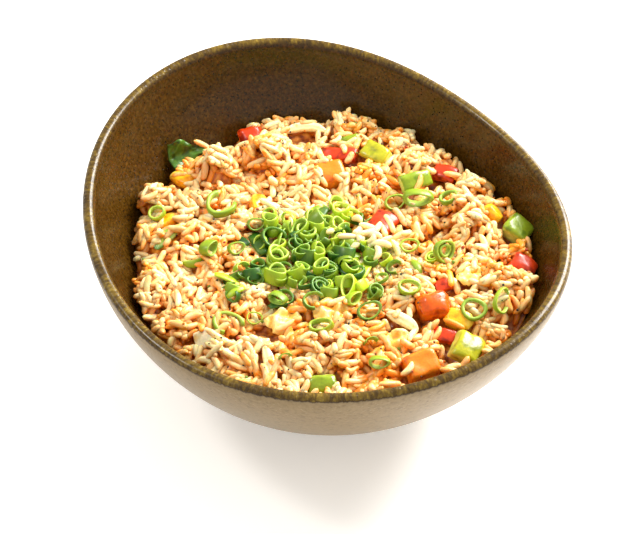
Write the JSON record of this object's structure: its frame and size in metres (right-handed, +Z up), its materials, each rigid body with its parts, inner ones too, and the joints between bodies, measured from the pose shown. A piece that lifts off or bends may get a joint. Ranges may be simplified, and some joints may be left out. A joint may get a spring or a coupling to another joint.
{
  "type": "fried rice",
  "caption": "Deep oval stoneware bowl with a waving rim, heaped with fried rice, diced peppers, carrot, maize, egg and a pile of cut spring onion",
  "frame": {"origin": "the middle of the foot ring's underside, on the table, under the middle of the bowl's outer box", "axes": "+Z up; -Y towards the diner and the picture's camera; +X to the diner's right"},
  "size_m": [0.1695, 0.1738, 0.0772],
  "materials": {
    "glazed_stoneware": "dark olive-brown speckled glaze inside, pale satin glaze outside, golden break along the lip",
    "rice": "moist cooked rice, soft sheen",
    "onion_green": "fresh cut spring onion, moist",
    "pepper_red": "cooked sweet pepper, moist skin",
    "pepper_green": "cooked sweet pepper, moist skin",
    "carrot_orange": "cooked carrot, moist",
    "corn_yellow": "cooked maize kernel, moist skin",
    "egg_yellow": "shredded fried egg",
    "onion_pale": "cooked onion, slightly clear",
    "leaf_green": "wilted leaf, moist"
  },
  "bodies": {
    "root": {"bowl": "glazed_stoneware", "rice": "rice", "spring_onion": "onion_green", "leaf_back_left": "leaf_green", "corn_back_left": "corn_yellow", "pepper_red_back_left": "pepper_red", "onion_slice_back": "onion_pale", "pepper_red_back": "pepper_red", "pepper_green_back": "pepper_green", "pepper_yellow_back": "pepper_green", "carrot_back": "carrot_orange", "pepper_green_back_right": "pepper_green", "pepper_dark_back_right": "pepper_red", "corn_right": "corn_yellow", "pepper_green_right": "pepper_green", "pepper_red_right": "pepper_red", "pepper_red_middle": "pepper_red", "pepper_red_front": "carrot_orange", "corn_front": "corn_yellow", "pepper_green_front": "pepper_green", "carrot_front": "carrot_orange", "corn_middle": "corn_yellow", "corn_left": "corn_yellow", "spring_onion_left": "onion_green", "egg_front": "egg_yellow", "egg_middle": "egg_yellow", "egg_right": "egg_yellow", "egg_back_right": "egg_yellow", "onion_strip_front": "onion_pale", "pepper_skin_front": "pepper_red", "pepper_skin_right": "pepper_red", "cabbage_left": "onion_pale", "sprout_front": "onion_pale", "pepper_green_rim": "pepper_green"}
  },
  "joints": []
}
